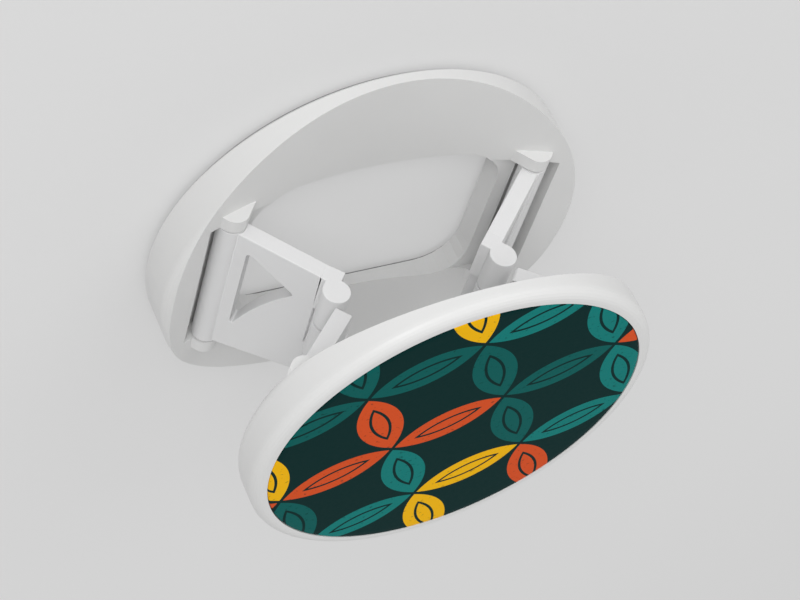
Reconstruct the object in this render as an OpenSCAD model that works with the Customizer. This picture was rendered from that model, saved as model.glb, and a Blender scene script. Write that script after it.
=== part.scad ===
// Folding phone grip, open: a round dish with a sticky foam pad, two pairs of
// hinged legs and a round top disc with a printed face. The knees point inwards.
// Origin at the middle of the pad's sticking face, +Z towards the print. The hinge
// axes run along Y.

/* [Base dish] */
// Outer diameter of the base dish
base_d = 40; // [37:0.5:50]
// Height of the dish above the sticking face at its middle
base_mid_h = 1.6; // [1.3:0.1:1.9]
// How much higher the dish stands at the outer edge of its ears
base_ear_rise = 4.2; // [3.2:0.1:4.6]
// How far the foot of the side wall draws in
base_foot_in = 0.3; // [0.2:0.1:0.6]
// Radius that rounds the top of the side wall
base_edge_r = 1.1; // [0.6:0.1:1.4]
// Thickness of the foam pad under the dish
pad_t = 0.4; // [0.3:0.1:0.8]
// How far the pad stays inside the dish's edges
pad_inset = 0.4; // [0.3:0.1:1.2]

/* [Opening] */
// Width of the rib between the opening and each barrel's groove
rib_t = 1; // [0.8:0.1:2]
// How far the opening reaches past each end of the leg barrels
open_past = 0.9; // [0.4:0.1:1.5]
// Radius of the opening's corners
open_r = 4; // [1:0.5:6]

/* [Hinges] */
// Length of each leg's hinge barrel
barrel_len = 16; // [12:0.5:19.5]
// Outer diameter of the barrels and knuckles
barrel_d = 2.5; // [2.1:0.1:3]
// Diameter of the hinge pins
pin_d = 1.2; // [1:0.1:1.4]
// Radial clearance of a pin in the barrel that turns on it
turn_gap = 0.05; // [0.02:0.01:0.08]
// Radial clearance of a pin in the lugs that hold it
hold_gap = 0.01; // [0.01:0.01:0.02]
// Clearance between a barrel's end and the lug beside it
side_gap = 0.2; // [0.15:0.05:0.4]
// Thickness of each lug along the pin
lug_t = 1.4; // [1.2:0.1:2]
// How far the lugs' corners stay inside the top disc's edge
lug_in = 0.1; // [0.1:0.1:1]
// Width of the cheek under each lug, across the pin
cheek_w = 4.6; // [3:0.1:5]
// Thickness of the wall that closes each pin hole at the front
pin_wall = 0.5; // [0.4:0.1:0.7]
// How far a pin's open end stays inside the back face of its lug
pin_sunk = 0.15; // [0.1:0.05:0.3]
// Clearance round a barrel in its groove
groove_gap = 0.25; // [0.2:0.05:0.35]
// Thickness of the dish under each groove
groove_floor = 1.9; // [1.5:0.1:2.2]
// Thickness of the disc between each groove and the printed face
groove_roof = 1.3; // [1.1:0.1:1.8]
// Width of the slot behind each barrel
slot_w = 1; // [0.6:0.1:1.2]

/* [Legs] */
// Distance from the middle to each knee axis when the grip is folded
knee_in = 4.2; // [3.5:0.1:5.1]
// Angle between a leg and the sticking face when the grip is open
open_angle = 51; // [40:1:62]
// Clearance between the two barrels of a leg pair when the grip is folded
fold_gap = 0.35; // [0.3:0.05:0.9]
// Thickness of the leg plates
leg_t = 1.6; // [1.2:0.1:2.2]
// Half the width of a leg at its knee
knee_half_w = 6.9; // [5.7:0.1:7.5]
// Radius of a leg's corners at its knee
leg_corner_r = 0.3; // [0.1:0.1:0.6]
// Half the width of the upper leg's single knuckle
mid_knuckle = 2.3; // [1.5:0.1:3]
// Clearance round a knuckle where the other leg is cut away
knuckle_gap = 0.25; // [0.2:0.05:0.4]
// Width of the solid strip between a leg's barrel and its window
window_start = 0.8; // [0.5:0.1:1.6]
// Width of the solid strip between the window and the knee
window_end = 2; // [1.6:0.1:3]
// Width of the straight arm beside the window, at the barrel
arm_w = 2; // [1.8:0.1:4.2]
// Width of that arm at the knee end of the window
arm_tip_w = 4.1; // [2.6:0.1:5]
// Width of the curved web behind the window, at the barrel
web_w = 3.1; // [2.6:0.1:4.2]
// How far the window's curved side bows in towards the barrel
window_bow = 0.5; // [0.2:0.1:1]
// Radius of the window's corners
window_r = 0.3; // [0.2:0.1:0.6]

/* [Top disc] */
// How far the top disc's edge stays inside the dish's
top_in = 1.4; // [0.5:0.1:2]
// Thickness of the disc at its middle
top_mid_t = 1.7; // [1.5:0.1:2.2]
// Clearance between the rims of disc and dish when the grip is folded
ear_gap = 0.7; // [0.3:0.1:1]
// Radius that rounds the disc's outer edges
top_edge_r = 1; // [0.5:0.1:1.1]
// Width of the disc's rim round the printed face
face_in = 1.4; // [1.2:0.1:2.5]
// Thickness of the printed face
face_t = 0.7; // [0.5:0.1:0.9]
// Clearance round the printed face in its recess
face_gap = 0.05; // [0.05:0.05:0.15]

/* [Hidden] */
$fn = 96;
CUT = 1;
ARC_STEPS = 6;
HOLLOW_FN = 288;
CHEEK_TURN = 40;

pin_r = pin_d / 2;
barrel_r = barrel_d / 2;
groove_r = barrel_r + groove_gap;
barrel_half = barrel_len / 2;
pocket_half = barrel_half + side_gap;
lug_end = pocket_half + lug_t;

base_r = base_d / 2;
top_r = base_r - top_in;
face_r = top_r - face_in;
lug_r = top_r - lug_in;
hinge_x = sqrt(lug_r * lug_r - lug_end * lug_end) - barrel_r;
hinge_z = pad_t + groove_floor + groove_r;
top_drop = face_t + groove_roof + groove_r;
slot_x = hinge_x + barrel_r + slot_w;
open_w = 2 * (hinge_x - groove_r - rib_t);
open_l = 2 * (pocket_half + open_past);

fold_stack = barrel_d + fold_gap;
knee_up = fold_stack / 2;
plate_run = hinge_x - knee_in;
leg_len = norm([plate_run, knee_up]);
closed_angle = atan(knee_up / plate_run);
swing = open_angle - closed_angle;
knee_x = hinge_x - leg_len * cos(open_angle);
knee_z = hinge_z + leg_len * sin(open_angle);
top_hinge_z = 2 * knee_z - hinge_z;
face_z = top_hinge_z + top_drop;
plate_end = plate_run - barrel_r - knuckle_gap;
side_knuckle = mid_knuckle + knuckle_gap;
leg_floor = hinge_z - leg_t / 2 - groove_gap;
leg_roof = top_drop - leg_t / 2 - groove_gap;

// Radius of the hollow whose edge, half a width w from its middle, lies d deeper
function hollow_r(w, d) = (w * w + d * d) / (2 * d);
// How far such a hollow of radius r has risen at distance x from its middle
function rise(r, x) = r - sqrt(r * r - x * x);

dish_r = hollow_r(base_r, base_ear_rise);
base_top = base_mid_h + rise(dish_r, base_r - base_edge_r / 2);
folded_h = hinge_z + fold_stack + top_drop;
rim_t = folded_h - base_mid_h - rise(dish_r, top_r) - ear_gap;
vault_r = hollow_r(top_r, rim_t - top_mid_t);
top_deep = top_mid_t + rise(vault_r, top_r - top_edge_r / 2);

white = [0.88, 0.88, 0.87];
steel = [0.7, 0.71, 0.73];
foam = [0.32, 0.33, 0.34];
print_green = [0.02, 0.17, 0.17];

// Points of a quarter-like arc of radius r about c, from angle a to angle b
function arc(c, r, a, b, n = ARC_STEPS) =
    [for (i = [0:n]) c + r * [cos(a + (b - a) * i / n), sin(a + (b - a) * i / n)]];

function unit(v) = v / norm(v);
function heading(v) = atan2(v[1], v[0]);

// The arc that rounds corner p between its neighbours a and b with radius r
function corner(a, p, b, r) =
    let (u = unit(a - p), v = unit(b - p),
         half = acos(u * v) / 2,
         c = p + unit(u + v) * r / sin(half),
         start = heading(p + u * r / tan(half) - c),
         turn = heading(p + v * r / tan(half) - c) - start,
         sweep = turn > 180 ? turn - 360 : turn < -180 ? turn + 360 : turn)
    arc(c, r, start, start + sweep);

function rounded(pts, r) =
    let (n = len(pts))
    [for (i = [0:n - 1]) each corner(pts[(i + n - 1) % n], pts[i], pts[(i + 1) % n], r)];

// A round bar along Y from y0 to y1, about the axis at x, z
module bar_y(x, z, r, y0, y1) {
    translate([x, y1, z]) rotate([90, 0, 0]) cylinder(r = r, h = y1 - y0);
}

module both_sides() {
    children();
    mirror([1, 0, 0]) children();
}

module both_ends() {
    children();
    mirror([0, 1, 0]) children();
}

module rounded_slab(w, l, h, r) {
    linear_extrude(h) polygon(rounded([[w, l] / 2, [-w, l] / 2, [-w, -l] / 2, [w, -l] / 2], r));
}

// The cheeks that hold the pins beyond both ends of the barrels: round above the pin
// and spreading to their feet below it, inside the discs' edge
module cheeks(z) {
    side = barrel_r * [cos(CHEEK_TURN), sin(CHEEK_TURN)];
    intersection() {
        both_sides() both_ends() translate([hinge_x, lug_end, z]) rotate([90, 0, 0])
            linear_extrude(lug_t) {
                circle(r = barrel_r);
                polygon([[cheek_w / 2, -leg_t / 2], side, [-side[0], side[1]], [-cheek_w / 2, -leg_t / 2]]);
            }
        translate([0, 0, z - barrel_d]) cylinder(r = lug_r, h = 2 * barrel_d);
    }
}

// The hole for a pin held at both ends: open at the back and closed at the front
module pin_hole(x, z, r, half_len) {
    bar_y(x, z, r, pin_wall - half_len, half_len + CUT);
}

// The dish: a round body with its foot drawn in, hollowed along Y, so that it is
// thin at the front and back and rises to an ear at each hinge
module dish_body() {
    intersection() {
        rotate_extrude() polygon(concat(
            [[0, pad_t], [base_r - base_foot_in, pad_t], [base_r, pad_t + base_foot_in]],
            arc([base_r, base_top] - base_edge_r * [1, 1], base_edge_r, 0, 90),
            [[0, base_top]]));
        difference() {
            translate([-base_r, -base_r, 0]) cube([base_d, base_d, base_top + CUT]);
            bar_y(0, base_mid_h + dish_r, dish_r, -base_r - CUT, base_r + CUT, $fn = HOLLOW_FN);
        }
    }
}

module base_dish() {
    color(white) difference() {
        union() {
            dish_body();
            cheeks(hinge_z);
        }
        translate([0, 0, -CUT]) rounded_slab(open_w, open_l, base_top + 2 * CUT, open_r);
        both_sides() {
            translate([0, -pocket_half, leg_floor]) cube([slot_x, 2 * pocket_half, base_top]);
            bar_y(hinge_x, hinge_z, groove_r, -pocket_half, pocket_half);
            pin_hole(hinge_x, hinge_z, pin_r + hold_gap, lug_end);
        }
    }
}

module adhesive_pad() {
    color(foam) difference() {
        cylinder(r = base_r - base_foot_in - pad_inset, h = pad_t);
        translate([0, 0, -CUT])
            rounded_slab(open_w + 2 * pad_inset, open_l + 2 * pad_inset, pad_t + 2 * CUT, open_r);
    }
}

// Outline of a leg plate that lies flat, from its barrel at the origin to its knee
module leg_outline() {
    polygon(rounded([
        [0, -barrel_half], [plate_end, -knee_half_w],
        [plate_end, knee_half_w], [0, barrel_half]], leg_corner_r));
}

// The window: a straight arm runs beside it on the front side, and the side towards
// the knee and the back is curved
module leg_window() {
    start = barrel_r + window_start;
    end = plate_end - window_end;
    taper = (barrel_half - knee_half_w) / plate_end;
    front = [start, arm_w - barrel_half];
    tip = [end, arm_tip_w - barrel_half + taper * end];
    back = [start, barrel_half - web_w];
    across = unit(back - tip);
    bow_r = hollow_r(norm(back - tip) / 2, window_bow);
    difference() {
        polygon(rounded([front, tip, back], window_r));
        translate((tip + back) / 2 + (bow_r - window_bow) * [across[1], -across[0]])
            circle(r = bow_r);
    }
}

// Knuckles between y0 and y1 at the knee, with the root that ties them to the plate
module knuckle(y0, y1) {
    bar_y(plate_run, knee_up, barrel_r, y0, y1);
    translate([plate_end - CUT, y0, -leg_t / 2]) cube([CUT + barrel_r + knuckle_gap, y1 - y0, leg_t]);
    translate([plate_run - barrel_r, y0, 0]) cube([barrel_r, y1 - y0, knee_up]);
}

// One leg lying flat: knee_bore_gap is the clearance of the pin in its knuckles
module leg_flat(knee_bore_gap) {
    difference() {
        union() {
            bar_y(0, 0, barrel_r, -barrel_half, barrel_half);
            translate([0, 0, -leg_t / 2]) linear_extrude(leg_t) leg_outline();
            children();
        }
        translate([0, 0, -leg_t]) linear_extrude(2 * leg_t) leg_window();
        bar_y(0, 0, pin_r + turn_gap, -barrel_half - CUT, barrel_half + CUT);
        pin_hole(plate_run, knee_up, pin_r + knee_bore_gap, knee_half_w);
    }
}

module lower_leg() {
    translate([-hinge_x, 0, hinge_z]) rotate([0, -swing, 0])
        leg_flat(hold_gap) both_ends() knuckle(side_knuckle, knee_half_w);
}

module upper_leg() {
    translate([-hinge_x, 0, top_hinge_z]) mirror([0, 0, 1]) rotate([0, -swing, 0])
        leg_flat(turn_gap) knuckle(-mid_knuckle, mid_knuckle);
}

module lower_leg_left() { color(white) lower_leg(); }
module lower_leg_right() { color(white) mirror([1, 0, 0]) lower_leg(); }
module upper_leg_left() { color(white) upper_leg(); }
module upper_leg_right() { color(white) mirror([1, 0, 0]) upper_leg(); }

module pin(x, z, half_len) {
    color(steel) bar_y(x, z, pin_r, pin_wall + hold_gap - half_len, half_len - pin_sunk);
}

module base_pin_left() { pin(-hinge_x, hinge_z, lug_end); }
module base_pin_right() { pin(hinge_x, hinge_z, lug_end); }
module knee_pin_left() { pin(-knee_x, knee_z, knee_half_w); }
module knee_pin_right() { pin(knee_x, knee_z, knee_half_w); }
module top_pin_left() { pin(-hinge_x, top_hinge_z, lug_end); }
module top_pin_right() { pin(hinge_x, top_hinge_z, lug_end); }

// The disc's body: thin at its middle and vaulted below, so that it is thick at the hinges
module vault_body() {
    difference() {
        rotate_extrude() polygon(concat(
            [[0, -top_deep]],
            arc([top_r - top_edge_r, top_edge_r - top_deep], top_edge_r, -90, 0),
            arc([top_r - top_edge_r, -top_edge_r], top_edge_r, 0, 90),
            [[0, 0]]));
        bar_y(0, -top_mid_t - vault_r, vault_r, -top_r - CUT, top_r + CUT, $fn = HOLLOW_FN);
    }
}

module top_disc() {
    color(white) translate([0, 0, face_z]) difference() {
        union() {
            vault_body();
            mirror([0, 0, 1]) cheeks(top_drop);
        }
        translate([0, 0, -face_t]) cylinder(r = face_r + face_gap, h = face_t + CUT);
        both_sides() {
            translate([0, -pocket_half, -leg_roof - top_deep])
                cube([hinge_x, 2 * pocket_half, top_deep]);
            bar_y(hinge_x, -top_drop, groove_r, -pocket_half, pocket_half);
            pin_hole(hinge_x, -top_drop, pin_r + hold_gap, lug_end);
        }
    }
}

module face_insert() {
    color(print_green) translate([0, 0, face_z - face_t]) cylinder(r = face_r, h = face_t);
}

base_dish();
adhesive_pad();
lower_leg_left();
lower_leg_right();
upper_leg_left();
upper_leg_right();
base_pin_left();
base_pin_right();
knee_pin_left();
knee_pin_right();
top_pin_left();
top_pin_right();
top_disc();
face_insert();
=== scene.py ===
# %% [markdown]
# # A folding phone grip, standing open on its dish
#
# The grip is a round dish with a sticky pad, two pairs of hinged legs and a
# round disc with a printed face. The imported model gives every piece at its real
# size and place. This lesson gives each piece the edges and the finish that the
# real one has, and lights it like a small product on a pale studio table.

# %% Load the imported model
import math
import bpy
from mathutils import Matrix, Vector


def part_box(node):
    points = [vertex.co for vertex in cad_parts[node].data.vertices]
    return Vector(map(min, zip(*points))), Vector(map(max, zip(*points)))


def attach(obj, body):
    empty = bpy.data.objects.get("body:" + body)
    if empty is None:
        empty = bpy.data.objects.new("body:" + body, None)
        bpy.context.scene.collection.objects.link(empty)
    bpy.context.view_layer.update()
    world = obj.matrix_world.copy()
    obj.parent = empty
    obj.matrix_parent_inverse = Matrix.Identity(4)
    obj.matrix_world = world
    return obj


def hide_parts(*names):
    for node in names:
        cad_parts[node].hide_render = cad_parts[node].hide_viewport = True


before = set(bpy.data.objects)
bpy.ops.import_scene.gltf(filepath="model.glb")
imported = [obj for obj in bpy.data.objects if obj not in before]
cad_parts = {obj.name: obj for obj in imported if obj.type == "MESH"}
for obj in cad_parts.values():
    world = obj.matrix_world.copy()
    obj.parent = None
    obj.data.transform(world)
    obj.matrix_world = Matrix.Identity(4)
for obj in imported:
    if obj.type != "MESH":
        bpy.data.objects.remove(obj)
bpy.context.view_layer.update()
MM = 0.001
print("nodes:", ", ".join(sorted(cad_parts)))


# %% [markdown]
# The loaded nodes are all selected, and a Blender operator acts on whatever is
# selected. So everything is deselected first, and a small helper selects one
# object at a time, as a click in the viewport would.

# %% Selecting one object at a time
def pick(obj):
    bpy.ops.object.select_all(action="DESELECT")
    obj.select_set(True)
    bpy.context.view_layer.objects.active = obj
    return obj


bpy.ops.object.select_all(action="DESELECT")
print("selected:", len(bpy.context.selected_objects))

# %% [markdown]
# ## Camera
#
# The grip is seen from close by, a little from one side, with the printed face
# hanging down towards the viewer. A rolled camera does that: the object stays
# upright on its dish, and only the camera turns. The three directions of the
# camera are written out, because a track constraint can't hold a roll.

# %% Camera
CAMERA_AT = Vector((72.04, -143.93, 96.82)) * MM
LOOK = Vector((-0.39605, 0.78618, -0.47442)).normalized()
UP = Vector((-0.19951, -0.57800, -0.79127)).normalized()
LENS_MM, SENSOR_MM = 93, 36
NEAREST, FARTHEST = 0.01, 20

camera_data = bpy.data.cameras.new("grip_camera")
camera_data.lens = LENS_MM
camera_data.sensor_width = SENSOR_MM
camera_data.clip_start = NEAREST
camera_data.clip_end = FARTHEST
camera = bpy.data.objects.new("grip_camera", camera_data)
bpy.context.scene.collection.objects.link(camera)
side = LOOK.cross(UP).normalized()
top = side.cross(LOOK)
camera.matrix_world = (
    Matrix.Translation(CAMERA_AT) @ Matrix((side, top, -LOOK)).transposed().to_4x4()
)
bpy.context.scene.camera = camera
print("camera looks along", [round(v, 3) for v in LOOK])


# %% [markdown]
# ## Node helpers
#
# Every finish below is built from nodes. Three helpers keep that short: one adds
# a node with its settings, one adds a step of arithmetic, and one starts a
# material and returns its shader.

# %% Helpers for materials
def add(tree, kind, at=(0, 0), sockets=None, **settings):
    node = tree.nodes.new(kind)
    node.location = at
    for key, value in settings.items():
        setattr(node, key, value)
    for key, value in (sockets or {}).items():
        node.inputs[key].default_value = value
    return node


def math_step(tree, operation, a, b=0.0, at=(0, 0)):
    node = add(tree, "ShaderNodeMath", at, operation=operation)
    for socket, value in zip(node.inputs, (a, b)):
        if isinstance(value, (int, float)):
            socket.default_value = value
        else:
            tree.links.new(value, socket)
    return node.outputs[0]


def start_material(name):
    material = bpy.data.materials.new(name)
    material.use_nodes = True
    tree = material.node_tree
    tree.nodes.clear()
    shader = add(tree, "ShaderNodeBsdfPrincipled", (300, 0))
    output = add(tree, "ShaderNodeOutputMaterial", (620, 0))
    tree.links.new(shader.outputs["BSDF"], output.inputs["Surface"])
    return material, tree, shader


print("helpers:", add.__name__, math_step.__name__, start_material.__name__)

# %% [markdown]
# ## Floor and light
#
# A product photograph of a white thing needs a pale floor that is not quite
# white, so that the white edges still show against it. The floor could be a curved
# backdrop, but the camera looks down on it, so a plain large plane fills the view.
# A slow noise keeps its tone from being dead flat.

# %% Floor
FLOOR_SIZE = 4
FLOOR_DROP = 0.02 * MM
FLOOR_TONES = (0.735, 0.755)
bpy.ops.mesh.primitive_plane_add(size=FLOOR_SIZE, location=(0, 0, -FLOOR_DROP))
floor = bpy.context.active_object
floor.name = "floor"
floor_paint, floor_tree, floor_shader = start_material("floor_paint")
floor_shader.inputs["Roughness"].default_value = 0.9
floor_shader.inputs["Specular IOR Level"].default_value = 0.1
floor_noise = add(floor_tree, "ShaderNodeTexNoise", (-520, 0), {"Scale": 12, "Detail": 3})
floor_tone = add(floor_tree, "ShaderNodeValToRGB", (-260, 0))
for stop, tone in zip(floor_tone.color_ramp.elements, FLOOR_TONES):
    stop.color = (tone, tone, tone, 1)
floor_place = add(floor_tree, "ShaderNodeTexCoord", (-740, 0))
link_floor = floor_tree.links.new
link_floor(floor_place.outputs["Object"], floor_noise.inputs["Vector"])
link_floor(floor_noise.outputs["Fac"], floor_tone.inputs["Fac"])
link_floor(floor_tone.outputs["Color"], floor_shader.inputs["Base Color"])
print("floor tones:", FLOOR_TONES)

# %% [markdown]
# Round such a small thing in a light tent the shadows are faint. Part of the
# floor's tone is therefore given off by the floor itself, only where the camera,
# a reflection or clear glass looks at it, so the object receives no extra light
# and its shadow stays visible.

# %% Faint shadows on the floor
GROUND_SHARE = 0.45
floor_path = add(floor_tree, "ShaderNodeLightPath", (-260, 420))
seen = math_step(
    floor_tree, "MAXIMUM", floor_path.outputs["Is Camera Ray"],
    floor_path.outputs["Is Glossy Ray"], (-40, 420),
)
seen = math_step(floor_tree, "MAXIMUM", seen, floor_path.outputs["Is Transmission Ray"], (140, 420))
seen = math_step(floor_tree, "MULTIPLY", seen, GROUND_SHARE, (320, 420))
floor_glow = add(floor_tree, "ShaderNodeEmission", (300, 220))
link_floor(floor_tone.outputs["Color"], floor_glow.inputs["Color"])
floor_mix = add(floor_tree, "ShaderNodeMixShader", (620, 200))
link_floor(seen, floor_mix.inputs["Fac"])
link_floor(floor_shader.outputs["BSDF"], floor_mix.inputs[1])
link_floor(floor_glow.outputs["Emission"], floor_mix.inputs[2])
floor_end = next(n for n in floor_tree.nodes if n.bl_idname == "ShaderNodeOutputMaterial")
link_floor(floor_mix.outputs["Shader"], floor_end.inputs["Surface"])
floor.data.materials.append(floor_paint)
print("floor at", round(floor.location.z / MM, 3), "mm")


# %% [markdown]
# The light could come from several lamps, but then a white object shows several
# hard highlights. So most of it comes evenly from all round, from the world, as in
# a light tent. One large soft lamp on the near side makes the walls that face the
# viewer a little brighter than the rest. A smaller one beside the camera reaches in
# between the legs, where the even light hardly does.

# %% Lamps and surround
SURROUND_LIGHT = 0.6


def soft_lamp(name, towards, distance, size, watts):
    data = bpy.data.lights.new(name, "AREA")
    data.shape = "DISK"
    data.size = size
    data.energy = watts
    lamp = bpy.data.objects.new(name, data)
    bpy.context.scene.collection.objects.link(lamp)
    direction = Vector(towards).normalized()
    lamp.location = direction * distance
    lamp.rotation_mode = "QUATERNION"
    lamp.rotation_quaternion = direction.to_track_quat("Z", "Y")
    return lamp


key = soft_lamp("key_lamp", towards=(-0.34, -0.84, 0.42), distance=0.6, size=0.5, watts=0.7)
fill = soft_lamp("fill_lamp", towards=(0.42, -0.78, 0.47), distance=0.6, size=0.3, watts=1.3)
world = bpy.data.worlds.new("surround")
world.use_nodes = True
sky = world.node_tree.nodes["Background"]
sky.inputs["Color"].default_value = (1, 1, 1, 1)
sky.inputs["Strength"].default_value = SURROUND_LIGHT
bpy.context.scene.world = world
bpy.context.scene.view_settings.view_transform = "Standard"
print("lamps:", key.name, fill.name, "and", world.name)

# %% [markdown]
# ## White moulded plastic
#
# The dish, the disc and the legs are injection-moulded in white plastic. It
# isn't pure white, it has a satin sheen, and a fine grain from the steel mould
# breaks up the highlights. A noise texture a few tenths of a millimetre across
# gives the grain, and a slow one gives the slight change of tone that a moulded
# wall shows. A painted or photographed texture could do this too, but noise in the
# object's own space needs no unwrapping and has no seam. A value that is the same
# all over sits on the shader itself. The dish and the disc share one plastic, and
# the legs have one a shade paler, from another mould.

# %% White plastic
PLASTIC_IOR = 1.46
TONE_SCALE = 90
GRAIN_DEPTH = 0.02 * MM


def white_plastic(name, pale, deep, roughness, grain_mm):
    material, tree, shader = start_material(name)
    place = add(tree, "ShaderNodeTexCoord", (-1000, 0))
    slow = add(tree, "ShaderNodeTexNoise", (-760, 160), {"Scale": TONE_SCALE, "Detail": 2})
    tone = add(tree, "ShaderNodeMix", (-40, 160), data_type="RGBA")
    tone.inputs["A"].default_value = (*pale, 1)
    tone.inputs["B"].default_value = (*deep, 1)
    grain = add(tree, "ShaderNodeTexNoise", (-760, -120), {"Scale": 1 / (grain_mm * MM), "Detail": 3})
    gloss = add(tree, "ShaderNodeMapRange", (-40, -60))
    gloss.inputs["To Min"].default_value = roughness - 0.05
    gloss.inputs["To Max"].default_value = roughness + 0.07
    bump = add(tree, "ShaderNodeBump", (-40, -320), {"Strength": 0.12, "Distance": GRAIN_DEPTH})
    link = tree.links.new
    link(place.outputs["Object"], slow.inputs["Vector"])
    link(place.outputs["Object"], grain.inputs["Vector"])
    link(slow.outputs["Fac"], tone.inputs["Factor"])
    link(tone.outputs["Result"], shader.inputs["Base Color"])
    link(grain.outputs["Fac"], gloss.inputs["Value"])
    link(gloss.outputs["Result"], shader.inputs["Roughness"])
    link(grain.outputs["Fac"], bump.inputs["Height"])
    link(bump.outputs["Normal"], shader.inputs["Normal"])
    shader.inputs["IOR"].default_value = PLASTIC_IOR
    return material


shell_plastic = white_plastic(
    "shell_plastic", pale=(0.755, 0.755, 0.75), deep=(0.725, 0.725, 0.72), roughness=0.36, grain_mm=0.25)
leg_plastic = white_plastic(
    "leg_plastic", pale=(0.77, 0.77, 0.77), deep=(0.74, 0.74, 0.745), roughness=0.40, grain_mm=0.2)
print("plastics:", shell_plastic.name, leg_plastic.name)


# %% [markdown]
# ## The two shells
#
# The dish and the disc are the grip's two big mouldings. They could be modelled
# again with more rounded edges, but they already have their real shape and rims,
# and their hollows meet the rims at so flat an angle that a bevel leaves dark
# slits there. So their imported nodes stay, and each only gets the plastic in the
# place of its plain colour.

# %% Plastic on the shells
for node in ("base_dish", "top_disc"):
    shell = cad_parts[node].data
    shell.materials.clear()
    shell.materials.append(shell_plastic)
print("shells in", shell_plastic.name)


# %% [markdown]
# ## Softening the legs
#
# No moulded piece has a knife-sharp edge: the mould leaves a tiny round there,
# and that round is what catches the light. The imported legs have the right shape
# but sharp edges, so each leg is a copy of its node. The copy's loose triangles
# are merged, its flat faces are joined, and a Bevel modifier that works only on
# sharp edges rounds them. Rounding in the mesh was chosen over a shader trick,
# because a shader trick is lost when the model is exported. The faces that the
# bevel leaves in place then take their shading back from the node, so that a
# curved barrel stays smooth.

# %% A softened copy of a node
SHARP = math.radians(35)
FLAT = math.radians(0.5)
SAME_POINT = 0.001 * MM


def keep_normals(piece, source, new_faces):
    """Faces that the bevel left in place take their shading from the node's own smooth surface."""
    mesh = piece.data
    group = piece.vertex_groups.new(name="kept")
    kept = {v for face in mesh.polygons if face.material_index != new_faces for v in face.vertices}
    group.add(sorted(kept), 1.0, "REPLACE")
    transfer = piece.modifiers.new("node_shading", "DATA_TRANSFER")
    transfer.object = source
    transfer.use_loop_data = True
    transfer.data_types_loops = {"CUSTOM_NORMAL"}
    transfer.loop_mapping = "POLYINTERP_NEAREST"
    transfer.vertex_group = group.name
    bpy.ops.object.modifier_apply(modifier=transfer.name)
    piece.vertex_groups.clear()


def soften(node, body, material, width_mm, steps=2):
    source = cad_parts[node]
    piece = bpy.data.objects.new(node + "_moulded", source.data.copy())
    bpy.context.scene.collection.objects.link(piece)
    piece.data.materials.clear()
    piece.data.materials.append(material)
    piece.data.materials.append(material)
    bevel_slot = 1
    pick(piece)
    bpy.ops.object.mode_set(mode="EDIT")
    bpy.ops.mesh.select_all(action="SELECT")
    bpy.ops.mesh.remove_doubles(threshold=SAME_POINT)
    bpy.ops.mesh.dissolve_limited(angle_limit=FLAT)
    bpy.ops.mesh.customdata_custom_splitnormals_clear()
    bpy.ops.object.mode_set(mode="OBJECT")
    bevel = piece.modifiers.new("mould_round", "BEVEL")
    bevel.limit_method = "ANGLE"
    bevel.angle_limit = SHARP
    bevel.width = width_mm * MM
    bevel.segments = steps
    bevel.material = bevel_slot
    bevel.use_clamp_overlap = False
    bpy.ops.object.modifier_apply(modifier=bevel.name)
    bpy.ops.object.shade_smooth_by_angle(angle=SHARP)
    keep_normals(piece, source, bevel_slot)
    for face in piece.data.polygons:
        face.material_index = 0
    piece.data.materials.pop(index=bevel_slot)
    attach(piece, body)
    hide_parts(node)
    print(piece.name, len(piece.data.polygons), "faces")
    return piece


print("edges sharper than", round(math.degrees(SHARP)), "degrees are rounded")

# %% The legs
LEG_ROUND_MM = 0.12
LEG_BODIES = {
    "lower_leg_left": "lower_left", "lower_leg_right": "lower_right",
    "upper_leg_left": "upper_left", "upper_leg_right": "upper_right",
}
legs = [
    soften(node, body, leg_plastic, LEG_ROUND_MM) for node, body in LEG_BODIES.items()
]
print("legs:", len(legs))


# %% [markdown]
# ## Steel hinge pins
#
# Each hinge turns on a pin cut from drawn wire. Only the open ends at the back
# show, with the small chamfer that keeps a cut end from scraping its hole, so a
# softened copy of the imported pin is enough. Drawing leaves fine streaks along the
# wire. They could be cut into the mesh, but they are finer than any view needs, so
# the roughness follows a noise that is stretched along the pin's axis, Y.

# %% Drawn steel
STREAKS = (9000, 260, 9000)
STREAK_SHADE = 0.86


def drawn_steel(name, tone, roughness):
    material, tree, shader = start_material(name)
    place = add(tree, "ShaderNodeTexCoord", (-1000, 0))
    stretch = add(tree, "ShaderNodeMapping", (-800, 0), {"Scale": STREAKS})
    streaks = add(tree, "ShaderNodeTexNoise", (-580, 0), {"Scale": 1, "Detail": 2})
    shade = add(tree, "ShaderNodeValToRGB", (-340, 160))
    shade.color_ramp.elements[0].color = (*[STREAK_SHADE * c for c in tone], 1)
    shade.color_ramp.elements[1].color = (*tone, 1)
    gloss = add(tree, "ShaderNodeMapRange", (-340, -80))
    gloss.inputs["To Min"].default_value = roughness - 0.08
    gloss.inputs["To Max"].default_value = roughness + 0.1
    bump = add(tree, "ShaderNodeBump", (-40, -300), {"Strength": 0.2, "Distance": 0.01 * MM})
    link = tree.links.new
    link(place.outputs["Object"], stretch.inputs["Vector"])
    link(stretch.outputs["Vector"], streaks.inputs["Vector"])
    link(streaks.outputs["Fac"], shade.inputs["Fac"])
    link(shade.outputs["Color"], shader.inputs["Base Color"])
    link(streaks.outputs["Fac"], gloss.inputs["Value"])
    link(gloss.outputs["Result"], shader.inputs["Roughness"])
    link(streaks.outputs["Fac"], bump.inputs["Height"])
    link(bump.outputs["Normal"], shader.inputs["Normal"])
    shader.inputs["Metallic"].default_value = 1
    return material


pin_steel = drawn_steel("pin_steel", tone=(0.62, 0.63, 0.65), roughness=0.3)
print("steel:", pin_steel.name)

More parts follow.
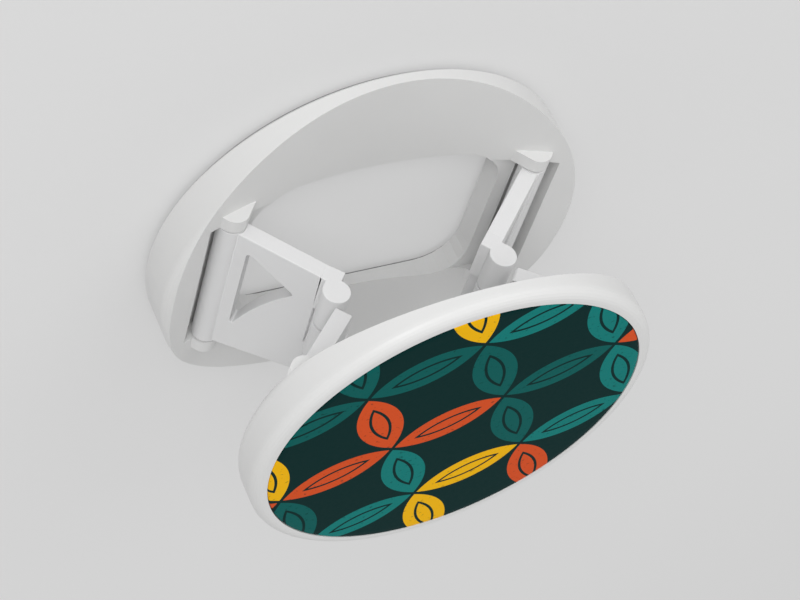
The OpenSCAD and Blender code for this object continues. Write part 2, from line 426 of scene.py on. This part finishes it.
# %% The pins
PIN_CHAMFER_MM = 0.12
PIN_BODIES = {
    "base_pin_left": "base", "base_pin_right": "base",
    "knee_pin_left": "lower_left", "knee_pin_right": "lower_right",
    "top_pin_left": "top", "top_pin_right": "top",
}
pins = [
    soften(node, body, pin_steel, PIN_CHAMFER_MM) for node, body in PIN_BODIES.items()
]
print("pins:", len(pins))

# %% [markdown]
# ## Foam pad
#
# A thin ring of closed-cell foam tape holds the dish where it is stuck. It is cut
# from sheet: a round blank with the dish's rounded opening punched out. The blank
# is a cylinder, the punch is a box with rounded corners, and a Boolean modifier
# cuts one with the other. The rim is then rounded, because foam that is pressed
# on bulges a little at its edge.

# %% Sizes of the pad
pad_low, pad_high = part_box("adhesive_pad")
PAD_R = (pad_high.x - pad_low.x) / 2
PAD_T = pad_high.z - pad_low.z
HOLE_W, HOLE_L, HOLE_R = 24.93 * MM, 19.0 * MM, 4 * MM
PUNCH_H = 4 * PAD_T
BULGE = 0.3 * PAD_T
PAD_SIDES = 144
print("pad across", round(2 * PAD_R / MM, 2), "mm, thick", round(PAD_T / MM, 2), "mm")

# %% Cut the pad
bpy.ops.object.select_all(action="DESELECT")
bpy.ops.mesh.primitive_cube_add(size=1, location=(0, 0, PAD_T / 2))
punch = bpy.context.active_object
punch.scale = (HOLE_W, HOLE_L, PUNCH_H)
bpy.ops.object.transform_apply(location=True, rotation=False, scale=True)
corner = punch.modifiers.new("corner", "BEVEL")
corner.width = HOLE_R
corner.segments = 10
corner.limit_method = "WEIGHT"
weights = punch.data.attributes.new("bevel_weight_edge", "FLOAT", "EDGE")
for edge in punch.data.edges:
    ends = [punch.data.vertices[i].co for i in edge.vertices]
    weights.data[edge.index].value = 1.0 if abs(ends[0].z - ends[1].z) > PAD_T else 0.0
bpy.ops.object.modifier_apply(modifier=corner.name)

bpy.ops.object.select_all(action="DESELECT")
bpy.ops.mesh.primitive_cylinder_add(
    vertices=PAD_SIDES, radius=PAD_R, depth=PAD_T, location=(0, 0, pad_low.z + PAD_T / 2))
pad = bpy.context.active_object
pad.name = "foam_ring"
bpy.ops.object.transform_apply(location=True, rotation=False, scale=False)
cut = pad.modifiers.new("punched_hole", "BOOLEAN")
cut.operation = "DIFFERENCE"
cut.object = punch
bpy.ops.object.modifier_apply(modifier=cut.name)
bulge = pad.modifiers.new("pressed_rim", "BEVEL")
bulge.limit_method = "ANGLE"
bulge.angle_limit = math.radians(60)
bulge.width = BULGE
bulge.segments = 3
bpy.ops.object.modifier_apply(modifier=bulge.name)
bpy.ops.object.shade_smooth_by_angle(angle=math.radians(50))
bpy.data.objects.remove(punch)
print("pad:", len(pad.data.polygons), "faces")

# %% [markdown]
# Closed-cell foam looks matt and finely pitted where it is cut. Modelled pits
# would be far too many, so a Voronoi texture with cells a fifth of a millimetre
# across gives the tone, the roughness and the bump of each one. The tone holds
# painted shade: each pit is darkest at its bottom, where the bump is lowest.

# %% Foam with fine closed cells
pad_foam, foam_tree, foam_shader = start_material("pad_foam")
foam_place = add(foam_tree, "ShaderNodeTexCoord", (-900, 0))
cells = add(foam_tree, "ShaderNodeTexVoronoi", (-680, 0), {"Scale": 5200})
# Dark grey foam with painted shade: darker towards the bottom of each pit.
foam_grey_and_pit_shade = add(foam_tree, "ShaderNodeValToRGB", (-340, 120))
foam_grey_and_pit_shade.color_ramp.elements[0].color = (0.17, 0.175, 0.18, 1)
foam_grey_and_pit_shade.color_ramp.elements[1].color = (0.27, 0.275, 0.285, 1)
foam_gloss = add(foam_tree, "ShaderNodeMapRange", (-340, -120))
foam_gloss.inputs["To Min"].default_value = 0.8
foam_gloss.inputs["To Max"].default_value = 0.95
foam_bump = add(foam_tree, "ShaderNodeBump", (-40, -260), {"Strength": 0.5, "Distance": 0.04 * MM})
link_foam = foam_tree.links.new
link_foam(foam_place.outputs["Object"], cells.inputs["Vector"])
link_foam(cells.outputs["Distance"], foam_grey_and_pit_shade.inputs["Fac"])
link_foam(foam_grey_and_pit_shade.outputs["Color"], foam_shader.inputs["Base Color"])
link_foam(cells.outputs["Distance"], foam_gloss.inputs["Value"])
link_foam(foam_gloss.outputs["Result"], foam_shader.inputs["Roughness"])
link_foam(cells.outputs["Distance"], foam_bump.inputs["Height"])
link_foam(foam_bump.outputs["Normal"], foam_shader.inputs["Normal"])
pad.data.materials.clear()
pad.data.materials.append(pad_foam)
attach(pad, "base")
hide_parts("adhesive_pad")
print("foam cells on", pad.name)

# %% [markdown]
# ## Printed face
#
# A thin printed plate sits in the disc's recess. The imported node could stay, but
# its rim is a knife edge. So the plate is modelled as a cylinder whose rims are
# bevelled and whose top is inset, and a fine line runs round the print, as on a
# real plate with a cut and polished edge.

# %% The plate
plate_low, plate_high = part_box("face_insert")
PLATE_R = (plate_high.x - plate_low.x) / 2
PLATE_T = plate_high.z - plate_low.z
PLATE_SIDES = 160
RIM_W = 0.14 * MM
INSET = 0.6 * MM
bpy.ops.object.select_all(action="DESELECT")
bpy.ops.mesh.primitive_cylinder_add(
    vertices=PLATE_SIDES, radius=PLATE_R, depth=PLATE_T, location=(0, 0, plate_low.z + PLATE_T / 2))
plate = bpy.context.active_object
plate.name = "printed_plate"
bpy.ops.object.transform_apply(location=True, rotation=False, scale=False)
rim = plate.modifiers.new("polished_rim", "BEVEL")
rim.limit_method = "ANGLE"
rim.angle_limit = math.radians(60)
rim.width = RIM_W
rim.segments = 3
bpy.ops.object.modifier_apply(modifier=rim.name)
bpy.ops.object.mode_set(mode="EDIT")
bpy.ops.mesh.select_all(action="DESELECT")
bpy.ops.object.mode_set(mode="OBJECT")
for face in plate.data.polygons:
    face.select = face.normal.z > 0.99 and face.area > PLATE_R ** 2
bpy.ops.object.mode_set(mode="EDIT")
bpy.ops.mesh.inset(thickness=INSET)
bpy.ops.object.mode_set(mode="OBJECT")
bpy.ops.object.shade_smooth_by_angle(angle=math.radians(50))
print("plate:", len(plate.data.polygons), "faces, top at", round(plate_high.z / MM, 2), "mm")

# %% [markdown]
# The print is a grid of leaf shapes, the old pattern of overlapping circles. It
# could be cut out of the mesh leaf by leaf, but ink has no thickness, so it is a
# pattern in the material. The plate lies flat, so the pattern reads the object's
# own X and Y. Every other square cell is mirrored, two distances to opposite
# corners give the leaf, and a random number for each cell picks its ink.

# %% Leaf pattern
CELL = 7.4 * MM
GRID_TURN = math.radians(20)
INKS = {
    "ground": (0.0006, 0.0242, 0.0232),
    "deep_teal": (0.0021, 0.1119, 0.1022),
    "light_teal": (0.0056, 0.2051, 0.1878),
    "orange": (0.6939, 0.0865, 0.0185),
    "yellow": (0.9131, 0.4910, 0.0040),
}
face_print, print_tree, print_shader = start_material("face_print")
link = print_tree.links.new
print_place = add(print_tree, "ShaderNodeTexCoord", (-2600, 0))
grid = add(
    print_tree, "ShaderNodeMapping", (-2400, 0),
    {"Scale": (1 / CELL, 1 / CELL, 0), "Rotation": (0, 0, GRID_TURN), "Location": (0.3, 0.6, 0)})
link(print_place.outputs["Object"], grid.inputs["Vector"])
cell = add(print_tree, "ShaderNodeVectorMath", (-2200, 120), operation="FLOOR")
inside = add(print_tree, "ShaderNodeVectorMath", (-2200, -120), operation="FRACTION")
link(grid.outputs["Vector"], cell.inputs[0])
link(grid.outputs["Vector"], inside.inputs[0])
cell_xyz = add(print_tree, "ShaderNodeSeparateXYZ", (-2000, 120))
inside_xyz = add(print_tree, "ShaderNodeSeparateXYZ", (-2000, -120))
link(cell.outputs["Vector"], cell_xyz.inputs["Vector"])
link(inside.outputs["Vector"], inside_xyz.inputs["Vector"])
print("cells of", round(CELL / MM, 1), "mm")


# %% The leaf in each cell
def sum_of(*values):
    total = values[0]
    for value in values[1:]:
        total = math_step(print_tree, "ADD", total, value)
    return total


both = math_step(print_tree, "ADD", cell_xyz.outputs["X"], cell_xyz.outputs["Y"])
odd = math_step(print_tree, "FLOORED_MODULO", both, 2)
mirrored = math_step(print_tree, "SUBTRACT", 1, inside_xyz.outputs["X"])
across = sum_of(
    math_step(print_tree, "MULTIPLY", odd, mirrored),
    math_step(print_tree, "MULTIPLY", math_step(print_tree, "SUBTRACT", 1, odd), inside_xyz.outputs["X"]),
)
up = inside_xyz.outputs["Y"]
across_left = math_step(print_tree, "SUBTRACT", 1, across)
up_left = math_step(print_tree, "SUBTRACT", 1, up)


def reach(a, b):
    squares = sum_of(math_step(print_tree, "MULTIPLY", a, a), math_step(print_tree, "MULTIPLY", b, b))
    return math_step(print_tree, "SQRT", squares)


leaf = math_step(print_tree, "MAXIMUM", reach(across_left, up), reach(across, up_left))
print("leaf pattern made of", len(print_tree.nodes), "nodes")

# %% [markdown]
# The inks lie flat on a dark ground. A line drawn inside each leaf gives it a
# heart, and a fine noise wears specks out of the ink, changes the sheen a little
# and gives a faint bump, as on a face that is touched all day. The sheen stays
# very low, because a satin print shows next to no reflection.

# %% Which ink each leaf gets
LEAF_R, HEART_R, LINE = 0.975, 0.81, 0.018
INK_STARTS = {"deep_teal": 0.0, "light_teal": 0.3, "orange": 0.52, "yellow": 0.76}
pick_ink = add(print_tree, "ShaderNodeTexWhiteNoise", (-1400, 300), noise_dimensions="3D")
link(cell.outputs["Vector"], pick_ink.inputs["Vector"])
leaf_ink = add(print_tree, "ShaderNodeValToRGB", (-1200, 300))
leaf_ink.color_ramp.interpolation = "CONSTANT"
for ink, position in INK_STARTS.items():
    stops = leaf_ink.color_ramp.elements
    stop = stops[0] if position == 0 else stops.new(position)
    stop.color = (*INKS[ink], 1)
leaf_ink.color_ramp.elements.remove(leaf_ink.color_ramp.elements[-1])
link(pick_ink.outputs["Value"], leaf_ink.inputs["Fac"])
print("inks:", ", ".join(INK_STARTS))


# %% Inks on the ground
def within(distance, limit):
    return math_step(print_tree, "LESS_THAN", distance, limit)


def over(factor, below, above, at):
    mix = add(print_tree, "ShaderNodeMix", at, data_type="RGBA")
    for socket, value in (("Factor", factor), ("A", below), ("B", above)):
        if isinstance(value, tuple):
            mix.inputs[socket].default_value = (*value, 1)
        else:
            link(value, mix.inputs[socket])
    return mix.outputs["Result"]


colour = over(within(leaf, LEAF_R), INKS["ground"], leaf_ink.outputs["Color"], (-900, 300))
heart_edge = math_step(print_tree, "ABSOLUTE", math_step(print_tree, "SUBTRACT", leaf, HEART_R))
colour = over(within(heart_edge, LINE), colour, INKS["ground"], (-700, 300))
print("leaves with hearts on", face_print.name)

# %% Wear and sheen
SPECK_SCALE = 2600
WEAR_STARTS, WEAR_ENDS, WEAR_MOST = 0.62, 0.72, 0.55
PRINT_SHEEN = 0.02
speckle = add(print_tree, "ShaderNodeTexNoise", (-900, -60), {"Scale": SPECK_SCALE, "Detail": 4})
link(print_place.outputs["Object"], speckle.inputs["Vector"])
worn = add(print_tree, "ShaderNodeMapRange", (-700, -60))
worn.inputs["From Min"].default_value = WEAR_STARTS
worn.inputs["From Max"].default_value = WEAR_ENDS
worn.inputs["To Max"].default_value = WEAR_MOST
link(speckle.outputs["Fac"], worn.inputs["Value"])
colour = over(worn.outputs["Result"], colour, INKS["ground"], (-500, 300))
print_gloss = add(print_tree, "ShaderNodeMapRange", (-500, -60))
print_gloss.inputs["To Min"].default_value = 0.34
print_gloss.inputs["To Max"].default_value = 0.5
link(speckle.outputs["Fac"], print_gloss.inputs["Value"])
print_bump = add(print_tree, "ShaderNodeBump", (-100, -300), {"Strength": 0.1, "Distance": 0.01 * MM})
link(speckle.outputs["Fac"], print_bump.inputs["Height"])
link(colour, print_shader.inputs["Base Color"])
link(print_gloss.outputs["Result"], print_shader.inputs["Roughness"])
link(print_bump.outputs["Normal"], print_shader.inputs["Normal"])
print_shader.inputs["Specular IOR Level"].default_value = PRINT_SHEEN
plate.data.materials.clear()
plate.data.materials.append(face_print)
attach(plate, "top")
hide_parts("face_insert")
print("print on", plate.name)
